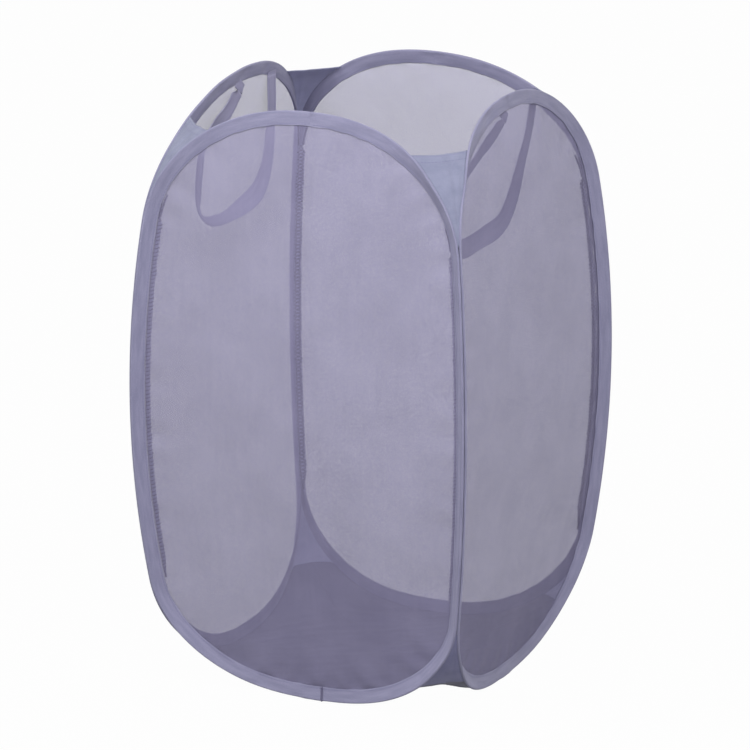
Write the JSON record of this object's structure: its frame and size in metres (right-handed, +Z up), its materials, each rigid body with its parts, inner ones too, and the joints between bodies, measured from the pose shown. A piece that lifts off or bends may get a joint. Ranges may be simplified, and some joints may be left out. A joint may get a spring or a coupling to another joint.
{
  "type": "pop-up laundry hamper",
  "caption": "Open-topped pop-up laundry hamper: oval net panels on spring wire rims, sewn into a square barrel with cloth gussets, a cloth base and two strap handles.",
  "frame": {"origin": "on the floor at the middle of the footprint", "axes": "+Z up, -Y out of the front panel, +X out of the right panel, whose handle faces the one on the left panel"},
  "size_m": [0.3582, 0.3582, 0.5847],
  "materials": {
    "net": "fine knitted polyester net, see-through",
    "tape": "woven nylon binding tape",
    "cloth": "plain woven nylon",
    "strap": "woven nylon strap",
    "thread": "polyester thread",
    "spring_steel": "bright drawn wire",
    "ferrule_metal": "crimped sleeve"
  },
  "bodies": {
    "front": {"front_net_panel": "net", "front_rim_tape": "tape", "front_spring_wire": "spring_steel", "front_wire_ferrule": "ferrule_metal", "base_cloth": "cloth", "front_right_top_gusset": "cloth", "front_right_bottom_gusset": "cloth", "front_right_seam": "thread", "front_left_top_gusset": "cloth", "front_left_bottom_gusset": "cloth", "front_left_seam": "thread"},
    "right": {"right_net_panel": "net", "right_rim_tape": "tape", "right_spring_wire": "spring_steel", "right_wire_ferrule": "ferrule_metal", "back_right_top_gusset": "cloth", "back_right_bottom_gusset": "cloth", "back_right_seam": "thread"},
    "back": {"back_net_panel": "net", "back_rim_tape": "tape", "back_spring_wire": "spring_steel", "back_wire_ferrule": "ferrule_metal"},
    "left": {"left_net_panel": "net", "left_rim_tape": "tape", "left_spring_wire": "spring_steel", "left_wire_ferrule": "ferrule_metal", "back_left_top_gusset": "cloth", "back_left_bottom_gusset": "cloth"},
    "back_left_corner": {"back_left_seam": "thread"},
    "left_handle": {"left_handle": "strap"},
    "right_handle": {"right_handle": "strap"}
  },
  "joints": [
    {"name": "right_fold", "type": "hinge", "parent": "front", "child": "right", "pos_m": [0.145, -0.145, 0.2925], "axis": [0, 0, 1], "range_deg": [0, 75], "stiffness_Nm_per_rad": 0.3, "deforming": ["front_right_top_gusset", "front_right_bottom_gusset", "base_cloth"]},
    {"name": "left_fold", "type": "hinge", "parent": "front", "child": "left", "pos_m": [-0.18, -0.18, 0.2925], "axis": [0, 0, 1], "range_deg": [0, 75], "deforming": ["front_left_top_gusset", "front_left_bottom_gusset"]},
    {"name": "back_fold", "type": "hinge", "parent": "right", "child": "back", "pos_m": [0.18, 0.18, 0.2925], "axis": [0, 0, 1], "range_deg": [-75, 0], "deforming": ["back_right_top_gusset", "back_right_bottom_gusset"]},
    {"name": "back_left_fold", "type": "hinge", "parent": "left", "child": "back_left_corner", "pos_m": [-0.145, 0.145, 0.2925], "axis": [0, 0, 1], "range_deg": [-75, 0], "deforming": ["back_left_top_gusset", "back_left_bottom_gusset"]},
    {"name": "left_handle_swing", "type": "hinge", "parent": "left", "child": "left_handle", "pos_m": [-0.13993, 0, 0.56312], "axis": [0, -1, 0], "range_deg": [0, 158]},
    {"name": "right_handle_swing", "type": "hinge", "parent": "right", "child": "right_handle", "pos_m": [0.13993, 0, 0.56312], "axis": [0, 1, 0], "range_deg": [-9, 149]}
  ],
  "couplings": [
    {"joint": "left_fold", "follows": "right_fold", "ratio": 1},
    {"joint": "back_fold", "follows": "right_fold", "ratio": -1},
    {"joint": "back_left_fold", "follows": "right_fold", "ratio": -1}
  ]
}
